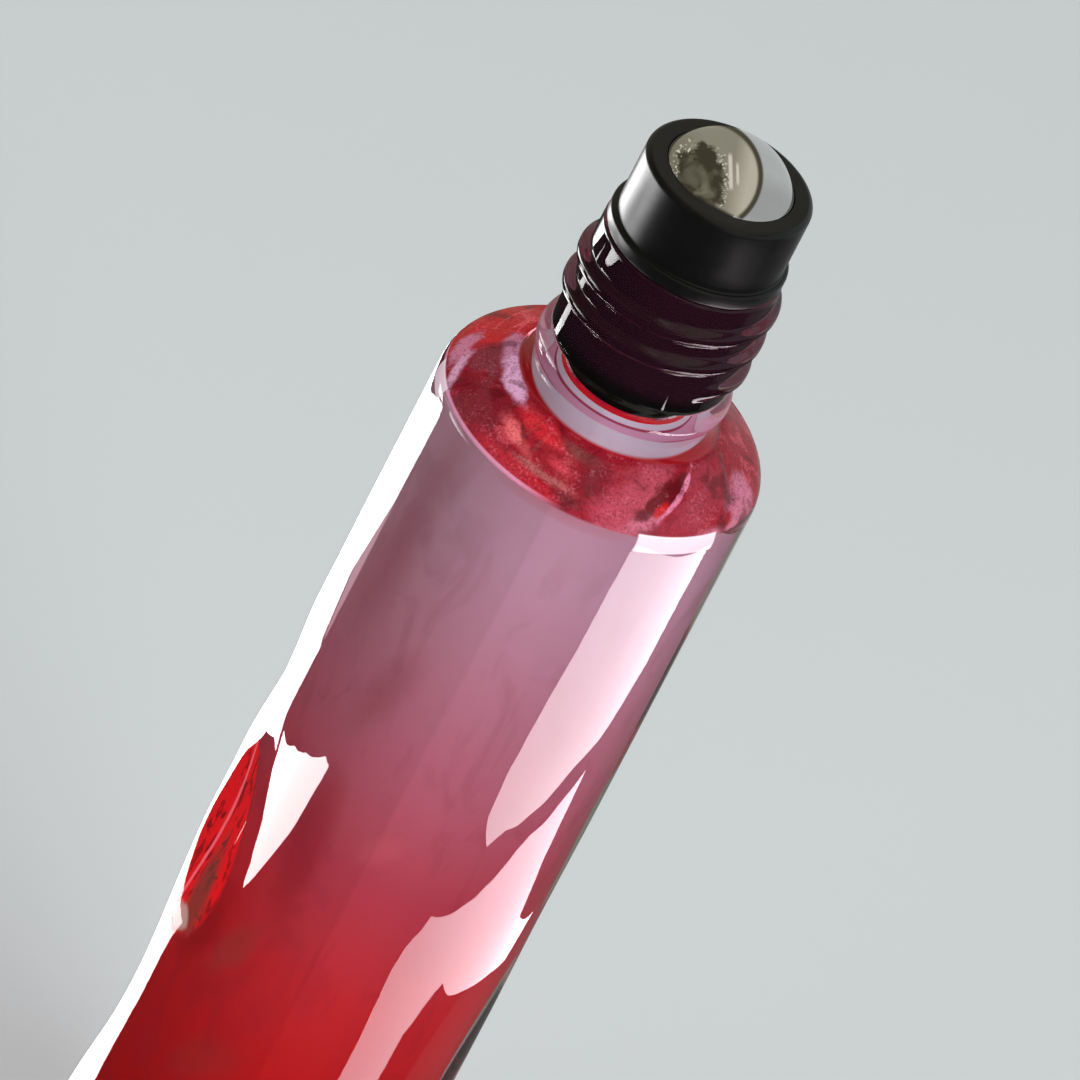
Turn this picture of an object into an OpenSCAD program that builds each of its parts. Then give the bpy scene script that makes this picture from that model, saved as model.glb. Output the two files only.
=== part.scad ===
// Roll-on bottle: thick dimpled glass, a press-in roller cartridge and a steel ball.
// Millimetres. The origin is the middle of the base, and +Z runs up the bottle.
// The front, which the reference view looks at, is -Y.

/* [Glass body] */
// Outer diameter of the body
body_d = 21.4; // [18:0.2:26]
// Height of the body from its base to the foot of the shoulder
body_h = 70; // [50:1:90]
// How far the cavity's side stands out from the bore of the neck
cavity_step = 2.3; // [1.5:0.1:3]
// Thickness of the glass under the cavity
base_t = 6.5; // [4:0.5:9]
// Radius of the base's outer edge
base_edge_r = 2; // [1:0.1:3]
// Diameter of the hollow under the base
punt_d = 13; // [8:0.5:15]
// Depth of the hollow under the base
punt_depth = 0.7; // [0.3:0.1:1.5]
// Radius of the cavity's bottom edge
cavity_foot_r = 3; // [1:0.1:4]
// Depth of the deepest dimple in the outside of the body
dimple_depth = 1; // [0.2:0.05:1.2]

/* [Shoulder] */
// Radius of the shoulder's outer edge
shoulder_edge_r = 2.25; // [1.5:0.05:2.8]
// Slope of the shoulder above level, in degrees
shoulder_slope = 30; // [10:1:40]
// Thickness of the glass between the cavity and the foot of the neck
shoulder_t = 3.4; // [2:0.1:5]

/* [Neck] */
// Bore of the neck
bore_d = 8; // [7:0.1:9]
// Wall of the neck at the root of the thread
neck_wall = 1.95; // [1.6:0.05:2.4]
// Height of the neck from its foot to its rim
neck_h = 12; // [11:0.1:16]
// Radius of the fillet at the foot of the neck
neck_foot_r = 1.1; // [0.5:0.1:1.6]
// Radius of the rounding on the rim
rim_round = 0.25; // [0.1:0.05:0.5]
// How far the bead stands out of the neck
bead_out = 0.5; // [0.3:0.05:0.55]
// Height of the bead along the neck
bead_h = 2.5; // [2:0.1:2.6]
// Height of the bead's middle above the foot of the neck
bead_up = 2.4; // [2.3:0.1:3]

/* [Thread] */
// How far the thread stands out of the neck
thread_depth = 0.55; // [0.3:0.05:0.8]
// Rise of the thread in one turn
thread_pitch = 2.3; // [1.8:0.1:2.4]
// Turns of the thread, right-hand
thread_turns = 2.3; // [1.5:0.1:2.4]
// Width of the thread at its root
thread_w = 1.35; // [0.9:0.05:1.6]
// Depth of the thread's low end below the rim
thread_drop = 6.85; // [6.4:0.05:7.4]
// Direction of the thread's low end, in degrees from +X
thread_start = -46; // [-180:1:180]
// Run-out of the thread at each end, in degrees
thread_runout = 42; // [20:1:60]

/* [Roller housing] */
// Wall of the collar round the ball
socket_wall = 0.75; // [0.5:0.05:1.2]
// Wall between the ball's socket and the plug's outside, at the rim of the neck
rim_wall = 0.42; // [0.3:0.02:0.6]
// Rounding of the collar's top edge
collar_round = 0.45; // [0.1:0.05:0.6]
// How far the flange's edge lies inside the neck's outside
flange_inset = 0.05; // [0:0.05:0.3]
// Thickness of the flange on the rim of the neck
flange_t = 1; // [0.6:0.1:1.6]
// Rounding of the flange's edge
flange_round = 0.2; // [0.05:0.05:0.25]
// Length of the plug below the rim of the neck
plug_len = 10.4; // [8.5:0.1:10.5]
// Clearance between the plug and the bore
plug_gap = 0.05; // [0.02:0.01:0.15]
// Wall of the plug
plug_wall = 0.85; // [0.6:0.05:1.1]
// Thickness of the plug's floor
plug_floor_t = 0.8; // [0.5:0.1:1.2]
// Lead-in chamfer at the plug's lower edge
plug_chamfer = 0.1; // [0.1:0.1:0.6]
// Sealing ribs round the plug
rib_count = 3; // [2:1:4]
// Height of one sealing rib
rib_h = 0.7; // [0.4:0.1:1]
// Bite of the sealing ribs into the bore
rib_bite = 0.03; // [0.01:0.01:0.05]
// Feed ports round the plug's floor
port_count = 4; // [3:1:6]
// Diameter of a feed port
port_d = 1.2; // [0.8:0.1:1.4]
// Distance from a feed port's edge to the plug's inside wall
port_inset = 0.4; // [0.2:0.05:0.6]

/* [Ball] */
// Diameter of the steel ball
ball_d = 9.5; // [9:0.1:10]
// How far the ball stands above the collar
ball_rise = 2.5; // [2.2:0.1:3]
// Running clearance between the ball and its socket
ball_gap = 0.05; // [0.03:0.01:0.1]
// Travel of the ball into its socket
ball_travel = 0.3; // [0.1:0.05:0.4]

/* [Ball seat and spring] */
// Clearance between the seat and the plug's inside
seat_gap = 0.1; // [0.05:0.01:0.2]
// Clearance between the ball and the dish of its seat
dish_gap = 0.03; // [0.01:0.01:0.1]
// Width of the flat rim round the seat's dish
seat_rim = 0.35; // [0.2:0.05:0.5]
// Thickness of the seat under the ball
seat_floor_t = 0.8; // [0.5:0.1:1.2]
// Diameter of the stem that the spring goes round
stem_d = 2; // [1.4:0.1:2.4]
// Length of the stem
stem_len = 2.5; // [1.5:0.1:3.5]
// Flutes that let the oil past the seat
flute_count = 4; // [3:1:6]
// Diameter of a flute
flute_d = 1; // [0.6:0.1:1.2]
// Diameter of the spring's wire
wire_d = 0.35; // [0.25:0.05:0.45]
// Clearance between the stem and the spring
coil_gap = 0.4; // [0.2:0.05:0.6]
// Turns of the spring
spring_turns = 6; // [4:1:7]
// Clearance at each end of the spring
spring_end_gap = 0.04; // [0.02:0.01:0.1]

/* [Oil] */
// Clearance between the oil and the glass
oil_gap = 0.05; // [0.02:0.01:0.1]
// Air between the oil and the plug
head_gap = 0.1; // [0.1:0.1:3]

/* [Hidden] */
// One overrun for every cut
overrun = 1;
// Fineness of round surfaces
$fn = 96;

// Sides and rows of the dimpled body
body_sides = 56;
body_rows = 40;
edge_steps = 5;
// Steps of one small arc and of the socket's, and rings in one turn of the thread and the spring
arc_steps = 7;
socket_steps = 14;
thread_rings = 28;
spring_rings = 10;
wire_sides = 6;

body_r = body_d / 2;
bore_r = bore_d / 2;
cavity_r = bore_r + cavity_step;
neck_r = bore_r + neck_wall;
neck_foot_ring_r = neck_r + neck_foot_r;
// The neck is let in to the foot just inside that ring
foot_step_share = 0.05;
neck_base_r = neck_foot_ring_r - neck_foot_r * foot_step_share;

// The shoulder's edge turns up to its slope, and the slope runs on to the foot of the neck
shoulder_turn = 90 - shoulder_slope;
slope_r = body_r - shoulder_edge_r + shoulder_edge_r * cos(shoulder_turn);
slope_z = body_h + shoulder_edge_r * sin(shoulder_turn);
neck_z = slope_z + (slope_r - neck_foot_ring_r) * tan(shoulder_slope);
rim_z = neck_z + neck_h;

// The cavity's inner shoulder steps in to the bore on two arcs
cavity_top_z = neck_z - shoulder_t;
cavity_edge_share = 0.65;
cavity_edge_r = cavity_step * cavity_edge_share;
cavity_throat_r = cavity_step - cavity_edge_r;

// The hollow under the base is a cap of this ball
punt_r = (pow(punt_d / 2, 2) + pow(punt_depth, 2)) / (2 * punt_depth);
// The bead is the outer part of a ring of this section
bead_r = (pow(bead_h / 2, 2) + pow(bead_out, 2)) / (2 * bead_out);

// Dimples: direction as a share of a turn from +X, height as a share of the body, half width as
// a share of a turn, half height as a share of the body, and depth as a share of the deepest
dimple_shares = [
    [0.560, 0.500, 0.080, 0.150, 0.85],
    [0.500, 0.630, 0.060, 0.095, 0.40],
    [0.885, 0.630, 0.080, 0.150, 0.15],
    [0.480, 0.280, 0.110, 0.190, 1.00],
    [0.655, 0.230, 0.075, 0.140, 0.40],
    [0.930, 0.330, 0.085, 0.170, 0.35],
    [0.060, 0.520, 0.090, 0.180, 0.40],
    [0.790, 0.160, 0.080, 0.110, 0.35],
    [0.200, 0.700, 0.090, 0.160, 0.50],
    [0.150, 0.260, 0.090, 0.170, 0.60],
    [0.340, 0.470, 0.090, 0.180, 0.70],
    [0.310, 0.180, 0.070, 0.120, 0.40],
    [0.440, 0.750, 0.080, 0.130, 0.35]
];

// The thread's section: half widths at its root, flank and crest, and the flank's height
flank_w_share = 0.66;
crest_w_share = 0.26;
flank_up_share = 0.72;
// The thread's root goes this deep into the neck, so that the two are one piece of glass
thread_sink = neck_wall / 4;

plug_r = bore_r - plug_gap;
plug_inner_r = plug_r - plug_wall;
plug_z = rim_z - plug_len;
plug_floor_z = plug_z + plug_floor_t;
rib_r = rib_h / 2;

// The ball, pressed in by its travel, comes as low as the wall at the rim lets it
ball_r = ball_d / 2;
socket_r = ball_r + ball_gap;
ball_z = rim_z + ball_travel + sqrt(pow(socket_r, 2) - pow(plug_r - rim_wall, 2));
collar_r = socket_r + socket_wall;
collar_z = ball_z + ball_r - ball_rise;
flange_r = neck_r - flange_inset;
flange_z = rim_z + flange_t;
port_ring_r = plug_inner_r - port_inset - port_d / 2;

seat_r = plug_inner_r - seat_gap;
dish_r = ball_r + dish_gap;
seat_top_z = ball_z - sqrt(pow(dish_r, 2) - pow(seat_r - seat_rim, 2));
seat_z = ball_z - dish_r - seat_floor_t;

spring_r = stem_d / 2 + coil_gap + wire_d / 2;
spring_low_z = plug_floor_z + spring_end_gap + wire_d / 2;
spring_high_z = seat_z - spring_end_gap - wire_d / 2;
spring_pitch = (spring_high_z - spring_low_z) / spring_turns;

oil_z = plug_z - head_gap;

echo("rim, collar and ball centre heights", rim_z, collar_z, ball_z);
echo("least gap between the spring's turns", spring_pitch - wire_d);

// An arc's points from one angle to another
function arc(x, y, r, from, to, steps) =
    [for (i = [0:steps]) [x + r * cos(from + (to - from) * i / steps), y + r * sin(from + (to - from) * i / steps)]];

// The angle brought to between -180 and 180
function wrapped(a) = a - 360 * round(a / 360);

// A smooth swell that is 1 in its middle and 0 from its edge on
function swell(u) = u < 1 ? pow(cos(90 * u), 2) : 0;

function total(values) = [for (v = values) 1] * values;

// How far the dimples go into the body at one direction and height
function dimple(a, z) =
    dimple_depth * total([
        for (d = dimple_shares)
            d[4] * swell(norm([wrapped(a - 360 * d[0]) / (360 * d[2]), (z / body_h - d[1]) / d[3]]))
    ]);

// The body's outline before its dimples: base edge, straight side, shoulder edge and slope
body_outline = concat(
    arc(body_r - base_edge_r, base_edge_r, base_edge_r, -90, 0, edge_steps),
    [for (i = [1:body_rows - 1]) [body_r, base_edge_r + (body_h - base_edge_r) * i / body_rows]],
    arc(body_r - shoulder_edge_r, body_h, shoulder_edge_r, 0, shoulder_turn, edge_steps),
    [[neck_foot_ring_r, neck_z]]
);

// The triangles of a closed tube of rings, each with the same number of points
function tube_faces(rings, sides) = concat(
    [[for (i = [0:sides - 1]) i]],
    [
        for (k = [0:rings - 2])
            for (i = [0:sides - 1])
                for (half = [0, 1])
                    half == 0
                        ? [k * sides + i, (k + 1) * sides + i, k * sides + (i + 1) % sides]
                        : [k * sides + (i + 1) % sides, (k + 1) * sides + i, (k + 1) * sides + (i + 1) % sides]
    ],
    [[for (i = [sides - 1:-1:0]) (rings - 1) * sides + i]]
);

// The outside of the glass up to the foot of the neck
module dimpled_body() {
    points = [
        for (p = body_outline)
            for (i = [0:body_sides - 1])
                let (a = 360 * i / body_sides, r = p[0] - dimple(a, p[1]))
                    [r * cos(a), r * sin(a), p[1]]
    ];
    polyhedron(points, tube_faces(len(body_outline), body_sides), 10);
}

// The neck from its foot fillet to its rim, solid, with its bead
module neck_blank() {
    rotate_extrude()
        polygon(concat(
            [[0, neck_z - neck_foot_r], [neck_base_r, neck_z - neck_foot_r], [neck_base_r, neck_z]],
            arc(neck_foot_ring_r, neck_z + neck_foot_r, neck_foot_r, 260, 180, arc_steps),
            arc(neck_r - rim_round, rim_z - rim_round, rim_round, 0, 90, arc_steps),
            [[0, rim_z]]
        ));
    rotate_extrude()
        translate([neck_r + bead_out - bead_r, neck_z + bead_up])
            circle(r = bead_r);
}

// The thread sinks into the neck at both ends
module thread() {
    rings = round(thread_turns * thread_rings);
    half_w = thread_w / 2;
    points = [
        for (k = [0:rings])
            let (
                turned = 360 * thread_turns * k / rings,
                left = 360 * thread_turns - turned,
                grown = sin(90 * min(1, turned / thread_runout, left / thread_runout)),
                crest = neck_r - thread_sink / 2 + grown * (thread_depth + thread_sink / 2),
                flank = neck_r - thread_sink / 2 + grown * (thread_depth * flank_up_share + thread_sink / 2),
                z = rim_z - thread_drop + thread_pitch * turned / 360,
                section = [
                    [neck_r - thread_sink, -half_w],
                    [flank, -half_w * flank_w_share],
                    [crest, -half_w * crest_w_share],
                    [crest, half_w * crest_w_share],
                    [flank, half_w * flank_w_share],
                    [neck_r - thread_sink, half_w]
                ]
            )
                for (p = section)
                    [p[0] * cos(thread_start + turned), p[0] * sin(thread_start + turned), z + p[1]]
    ];
    polyhedron(points, tube_faces(rings + 1, wire_sides), 10);
}

// The cavity and bore's outline, drawn in by a gap and stopped at a height
function cavity_outline(gap, top) = concat(
    [[0, base_t + gap]],
    arc(cavity_r - cavity_foot_r, base_t + cavity_foot_r, cavity_foot_r - gap, -90, 0, arc_steps),
    arc(cavity_r - cavity_edge_r, cavity_top_z - cavity_edge_r, cavity_edge_r - gap, 0, 90, arc_steps),
    arc(bore_r + cavity_throat_r, cavity_top_z + cavity_throat_r, cavity_throat_r + gap, 270, 180, arc_steps),
    [[bore_r - gap, top], [0, top]]
);

module glass_bottle() {
    color([0.86, 0.42, 0.56, 0.55])
        difference() {
            union() {
                dimpled_body();
                neck_blank();
                thread();
            }
            rotate_extrude()
                polygon(cavity_outline(0, rim_z + overrun));
            translate([0, 0, punt_depth - punt_r])
                sphere(r = punt_r);
        }
}

module fragrance_oil() {
    color([0.72, 0.1, 0.16])
        rotate_extrude()
            polygon(cavity_outline(oil_gap, oil_z));
}

// The hollow of the cartridge: the plug's inside, then the socket, which lets the ball turn and
// sink by its travel, up to the lip
module cartridge_hollow() {
    rotate_extrude()
        polygon(concat(
            [[0, plug_floor_z], [plug_inner_r, plug_floor_z]],
            arc(0, ball_z - ball_travel, socket_r, -acos(plug_inner_r / socket_r), 0, socket_steps),
            arc(0, ball_z, socket_r, 0, 90, socket_steps)
        ));
}

module roller_housing() {
    color([0.06, 0.06, 0.065])
        difference() {
            union() {
                rotate_extrude()
                    polygon(concat(
                        [[0, plug_z], [plug_r - plug_chamfer, plug_z], [plug_r, plug_z + plug_chamfer]],
                        [[plug_r, rim_z], [flange_r - flange_round, rim_z]],
                        arc(flange_r - flange_round, rim_z + flange_round, flange_round, -90, 0, arc_steps),
                        arc(flange_r - flange_round, flange_z - flange_round, flange_round, 0, 90, arc_steps),
                        [[collar_r, flange_z]],
                        arc(collar_r - collar_round, collar_z - collar_round, collar_round, 0, 90, arc_steps),
                        [[0, collar_z]]
                    ));
                for (i = [1:rib_count])
                    rotate_extrude()
                        translate([bore_r + rib_bite - rib_r, plug_z + plug_len * i / (rib_count + 1)])
                            circle(r = rib_r);
            }
            cartridge_hollow();
            for (i = [1:port_count])
                rotate([0, 0, 360 * i / port_count])
                    translate([port_ring_r, 0, plug_z - overrun])
                        cylinder(d = port_d, h = plug_floor_t + 2 * overrun);
        }
}

module ball_seat() {
    color([0.88, 0.88, 0.86])
        difference() {
            union() {
                translate([0, 0, seat_z])
                    cylinder(r = seat_r, h = seat_top_z - seat_z);
                translate([0, 0, seat_z - stem_len])
                    cylinder(d = stem_d, h = stem_len + seat_floor_t / 2);
            }
            translate([0, 0, ball_z])
                sphere(r = dish_r);
            for (i = [1:flute_count])
                rotate([0, 0, 360 * i / flute_count])
                    translate([seat_r, 0, seat_z - overrun])
                        cylinder(d = flute_d, h = seat_top_z - seat_z + 2 * overrun);
        }
}

// One unbroken wire, wound right-hand between the plug's floor and the seat
module seat_spring() {
    rings = spring_turns * spring_rings;
    points = [
        for (k = [0:rings])
            let (turned = 360 * spring_turns * k / rings)
                for (i = [0:wire_sides - 1])
                    let (
                        a = 360 * i / wire_sides,
                        r = spring_r - wire_d / 2 * cos(a),
                        z = spring_low_z + spring_pitch * turned / 360 + wire_d / 2 * sin(a)
                    )
                        [r * cos(turned), r * sin(turned), z]
    ];
    color([0.7, 0.71, 0.72])
        polyhedron(points, tube_faces(rings + 1, wire_sides), 10);
}

module roller_ball() {
    color([0.78, 0.78, 0.76])
        translate([0, 0, ball_z])
            sphere(d = ball_d);
}

glass_bottle();
fragrance_oil();
roller_housing();
ball_seat();
seat_spring();
roller_ball();
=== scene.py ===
"""Looks for a roll-on bottle: thick dimpled glass, a tinted oil, a black roller housing and a steel ball.

Sizes are in millimetres and are turned to metres where a mesh is finished. The front is -Y. Directions in
materials and lights are in degrees from the front towards +X.
"""

import logging
from dataclasses import dataclass, field, replace
from enum import Enum
from math import acos, asin, ceil, cos, degrees, pi, radians, sin, sqrt, tan

import bmesh
import bpy
import numpy as np
from mathutils import Matrix, Vector


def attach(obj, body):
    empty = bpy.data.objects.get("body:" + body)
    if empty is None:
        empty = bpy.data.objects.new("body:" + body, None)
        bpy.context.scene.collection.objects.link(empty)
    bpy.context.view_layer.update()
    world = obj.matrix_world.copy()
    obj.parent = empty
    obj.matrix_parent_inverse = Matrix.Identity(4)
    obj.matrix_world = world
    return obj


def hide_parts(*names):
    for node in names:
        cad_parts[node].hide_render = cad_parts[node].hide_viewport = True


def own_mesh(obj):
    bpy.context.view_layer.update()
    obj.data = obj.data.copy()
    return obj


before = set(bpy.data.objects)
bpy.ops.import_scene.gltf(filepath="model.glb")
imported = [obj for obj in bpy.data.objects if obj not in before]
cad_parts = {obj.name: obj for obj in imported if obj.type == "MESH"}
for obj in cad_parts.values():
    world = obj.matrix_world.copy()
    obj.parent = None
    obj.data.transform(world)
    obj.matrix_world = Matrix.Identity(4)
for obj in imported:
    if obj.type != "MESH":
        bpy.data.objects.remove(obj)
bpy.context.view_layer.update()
LOG = logging.getLogger("roll_on_bottle")

MM = 0.001
# Points of a mesh closer than this, in millimetres, are one
MERGE = 0.0005
# How near to the neck's root or to the axis, in millimetres, counts as on it
NEAR = 0.01
# Where a lobe's soft edge ends, in shares of its size
LOBE_END = 1.15

Colour = tuple[float, float, float]
Point = tuple[float, float]
Band = tuple[float, float, float]
Piece = bpy.types.Object
Socket = bpy.types.NodeSocket
Value = "Signal | Socket | float | tuple[float, ...]"
BLACK = (0, 0, 0)
WHITE = (1, 1, 1)


def screen(*levels: int) -> Colour:
    """A colour as a screen shows it, red, green and blue from 0 to 255, made linear for a shader."""
    shares = [level / 255 for level in levels]
    return tuple(s / 12.92 if s <= 0.04045 else ((s + 0.055) / 1.055) ** 2.4 for s in shares)


class Signal:
    """A number that varies in a shader. Arithmetic on it adds Math nodes."""

    def __init__(self, bench: "NodeBench", socket: Socket) -> None:
        """Keeps the bench that adds the nodes, and the socket that gives the number."""
        self.bench = bench
        self.socket = socket

    def math(self, operation: str, *others: Value) -> "Signal":
        """Adds a Math node with this operation, such as MULTIPLY, and the values of its other sockets."""
        return self.bench.signal("Math", dict(enumerate((self, *others))), {"operation": operation})

    def hypot(self, other: "Signal") -> "Signal":
        """The length of a step by this number and by another at right angles to it."""
        return (self * self + other * other).math("SQRT")

    def rise(self, low: float, high: float) -> "Signal":
        """A smooth step from 0 at low to 1 at high."""
        inputs = {"Value": self, "From Min": low, "From Max": high}
        return self.bench.signal("MapRange", inputs, {"interpolation_type": "SMOOTHSTEP"})

    def fall(self, low: float, high: float) -> "Signal":
        """A smooth step from 1 at low to 0 at high."""
        return 1 - self.rise(low, high)

    def band(self, low: float, high: float, soft: float) -> "Signal":
        """1 between low and high, falling smoothly to 0 outside over soft."""
        return self.rise(low - soft, low) * self.fall(high, high + soft)

    def stops(self, stops: list[tuple[float, Colour]]) -> Socket:
        """A colour that follows the number, from stops of a number and its colour each."""
        low, reach = stops[0][0], stops[-1][0] - stops[0][0]
        places = [((place - low) / reach, colour) for place, colour in stops]
        return self.bench.out("ValToRGB", {"Fac": (self - low) / reach}, {"stops": places})

    def __add__(self, other: Value) -> "Signal":
        """The sum with another number."""
        return self.math("ADD", other)

    def __mul__(self, other: Value) -> "Signal":
        """The product with another number."""
        return self.math("MULTIPLY", other)

    def __neg__(self) -> "Signal":
        """The number with its sign turned."""
        return self * -1

    def __sub__(self, other: Value) -> "Signal":
        """The difference from another number."""
        return self.math("SUBTRACT", other)

    def __rsub__(self, other: float) -> "Signal":
        """A number on the left, less this one."""
        return -self + other

    def __truediv__(self, other: Value) -> "Signal":
        """The ratio to another number."""
        return self.math("DIVIDE", other)

    __radd__ = __add__
    __rmul__ = __mul__


class NodeBench:
    """Adds and links the nodes of one material or world."""

    def __init__(self, owner: bpy.types.ID) -> None:
        """Starts the material or world with an empty tree."""
        owner.use_nodes = True
        owner.node_tree.nodes.clear()
        self.owner = owner

    def add(self, kind: str, settings: dict | None = None, inputs: dict | None = None) -> bpy.types.Node:
        """Adds a node, sets it and links it.

        Args:
            kind: The node's type after ShaderNode, such as Math.
            settings: The node's own settings, set first. Stops are a ramp's places and colours.
            inputs: The values or links of its sockets, by name or number.

        Returns:
            The new node.
        """
        tree = self.owner.node_tree
        node = tree.nodes.new(f"ShaderNode{kind}")
        for name, value in (settings or {}).items():
            if name == "stops":
                self._set_stops(node.color_ramp, value)
            else:
                setattr(node, name, value)
        for name, value in (inputs or {}).items():
            socket = node.inputs[name]
            if isinstance(value, Signal):
                value = value.socket
            if isinstance(value, Socket):
                tree.links.new(value, socket)
            elif isinstance(value, tuple) and len(value) == 3 and socket.type == "RGBA":
                socket.default_value = (*value, 1)
            else:
                socket.default_value = value
        return node

    @staticmethod
    def _set_stops(ramp: bpy.types.ColorRamp, stops: list[tuple[float, Colour]]) -> None:
        """Gives a ramp its stops, each a place and a colour."""
        while len(ramp.elements) < len(stops):
            ramp.elements.new(1)
        for element, (place, colour) in zip(ramp.elements, stops):
            element.position = place
            element.color = (*colour, 1)

    def out(self, kind: str, inputs: dict, settings: dict | None = None) -> Socket:
        """Adds a node and gives its first output."""
        return self.add(kind, settings, inputs).outputs[0]

    def signal(self, kind: str, inputs: dict, settings: dict | None = None) -> Signal:
        """Adds a node and gives its first output as a number, ready for arithmetic."""
        return Signal(self, self.out(kind, inputs, settings))

    def place(self) -> Socket:
        """The place on the piece, in metres, in the bottle's own frame."""
        return self.add("TexCoord").outputs["Object"]

    def split(self, vector: Socket) -> tuple[Signal, Signal, Signal]:
        """The three parts of a vector."""
        node = self.add("SeparateXYZ", inputs={0: vector})
        return tuple(Signal(self, output) for output in node.outputs)

    def spot(self) -> tuple[Socket, Signal, Signal, Signal]:
        """A place on the piece, its direction, its radius and its height."""
        place = self.place()
        x, y, height = self.split(place)
        return place, x.math("ARCTAN2", -y).math("DEGREES"), x.hypot(y), height

    def noise(self, vector: Socket, scale: float | Colour, detail: float = 2,
              distortion: float = 0) -> Signal:
        """A smooth random pattern, about 0.5 on average. Its scale is swells to a unit, or three of them."""
        if isinstance(scale, tuple):
            vector = self.out("VectorMath", {0: vector, 1: scale}, {"operation": "MULTIPLY"})
            scale = 1
        return self.signal("TexNoise", {
            "Vector": vector, "Scale": scale, "Detail": detail, "Distortion": distortion})

    def mixed(self, factor: Value, first: Value, second: Value, blend: str = "MIX") -> Socket:
        """A colour mixed into another, which is the first at a factor of 0 and the second at 1."""
        settings = {"data_type": "RGBA", "blend_type": blend, "clamp_factor": True}
        return self.add("Mix", settings, {0: factor, 6: first, 7: second}).outputs[2]

    def layered(self, colour: Value, *layers: tuple[Signal, Value]) -> Socket:
        """A colour under layers, the lowest first, each a mask and its colour."""
        for mask, tint in layers:
            colour = self.mixed(mask, colour, tint)
        return colour

    def lobed(self, colour: Socket, lobes: tuple[tuple, ...], *where: Signal) -> Socket:
        """Mixes soft lobes into a colour.

        Args:
            colour: The colour to start from.
            lobes: The fields of the lobes, the lowest first.
            where: The direction, the level, and how far the lobes' edges wander there.

        Returns:
            The colour with its lobes.
        """
        spin, level, wave = where
        for lobe in (Lobe(*row) for row in lobes):
            up = level - lobe.level
            across = (spin - lobe.spin - up * lobe.lean) / lobe.half_turn
            along = up / lobe.half_level
            inside = (across.hypot(along) + wave).fall(lobe.core, LOBE_END)
            colour = self.mixed(inside * lobe.share, colour, screen(*lobe.colour))
        return colour

    def glowing(self, mask: Signal, colour: Socket, glow: Socket, strength: float,
                coat: float = 0) -> Socket:
        """A matt shader with a second colour, which glows, where the mask is 1."""
        return self.out("BsdfPrincipled", {
            "Base Color": self.mixed(mask, colour, glow), "Roughness": 0.5, "Specular IOR Level": 0,
            "Coat Weight": coat, "Coat Roughness": 0, "Emission Strength": strength,
            "Emission Color": self.mixed(mask, BLACK, glow)})

    def bump(self, height: Signal, distance: float) -> Socket:
        """A bumped normal. The distance is in metres."""
        return self.out("Bump", {"Height": height, "Distance": distance})

    def finish(self, surface: Socket, **others: Socket) -> bpy.types.ID:
        """Ends the tree in its output node, and gives the material or world."""
        self.add(f"Output{type(self.owner).__name__}", inputs={"Surface": surface, **others})
        return self.owner


@dataclass(frozen=True)
class Lobe:
    """A soft cloud of colour. Turns are in degrees, levels in millimetres.

    The colour is as a screen shows it. lean is how many degrees it turns with each millimetre of its level,
    and core is where its edge starts.
    """

    spin: float
    half_turn: float
    level: float
    half_level: float
    share: float
    colour: tuple[int, int, int]
    lean: float = 0.0
    core: float = 0.7


# The fields of each lobe in order, the lowest lobe first
# The shoulder's lobes: maroon painted shade in its folds, and painted salmon and lilac sheens, over the
# oil's red
SHOULDER_LOBES = (
    (-120, 40, 3, 5, 0.85, (200, 30, 38)),
    (-52, 16, 3.2, 2.8, 0.8, (112, 26, 36)),
    (-74, 12, 1.6, 2.2, 0.7, (112, 44, 56)),
    (-25, 17, 1.1, 1.1, 0.85, (202, 40, 50), 4, 0.4),
    (-29, 10, 3.1, 1.2, 0.9, (226, 104, 106), 8, 0.1),
    (-22, 18, 5.8, 1.2, 0.75, (176, 32, 44)),
    (-12, 16, 4.4, 0.5, 0.6, (164, 100, 98), 5, 0.2),
    (-7, 7, 2.9, 0.8, 0.8, (200, 58, 74), 3, 0.2),
    (-2, 11, 1, 0.8, 0.8, (106, 52, 50), 5, 0.3),
    (8, 9, 2.6, 2.2, 0.85, (106, 20, 34), 0, 0.3),
    (1, 6, 5.2, 0.7, 0.7, (90, 44, 48), 4, 0.2),
    (28, 17, 3.2, 5, 0.7, (178, 74, 94), -3, 0.4),
    (31, 7, 4.6, 2.6, 0.55, (196, 116, 138), -4, 0.2),
    (64, 17, 2, 2.4, 0.8, (144, 42, 58)),
    (54, 14, 3.6, 1.9, 0.7, (150, 40, 54), -4),
    (40, 7, 2.6, 2.6, 0.95, (88, 10, 20), -6, 0.7),
    (37, 3, 3.7, 0.9, 0.9, (190, 14, 18), -4, 0.4),
    (48, 2, 2.2, 2.6, 0.9, (216, 124, 156), -5),
    (80, 11, 4.6, 2.4, 0.85, (188, 112, 138), -2, 0.4),
    (62, 14, 6.4, 1, 0.8, (190, 110, 134), 0, 0.4),
    (76, 2.2, 2.6, 3.4, 0.7, (112, 60, 70), -4, 0.6),
    (-85, 9, 4.4, 1.4, 0.85, (196, 124, 152), 6, 0.4),
    (-70, 5, 5, 1.8, 0.95, (214, 156, 186), 6, 0.3),
    (-82, 16, 0.2, 1, 0.8, (196, 130, 164), 0, 0.4),
    (-58, 18, 0.3, 1.1, 0.95, (214, 164, 198), 8, 0.5),
)
# The leaf's lobes: painted dark shade, a pale sheen and a pink line in its glowing red
LEAF_LOBES = (
    (-56, 9, 30, 4.6, 0.8, (88, 48, 42), -1, 0.4),
    (-60, 7, 27.4, 1, 0.7, (176, 146, 138), 2),
    (-70, 1.2, 33.5, 7.6, 0.8, (226, 92, 104), -0.4, 0.9),
)
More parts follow.
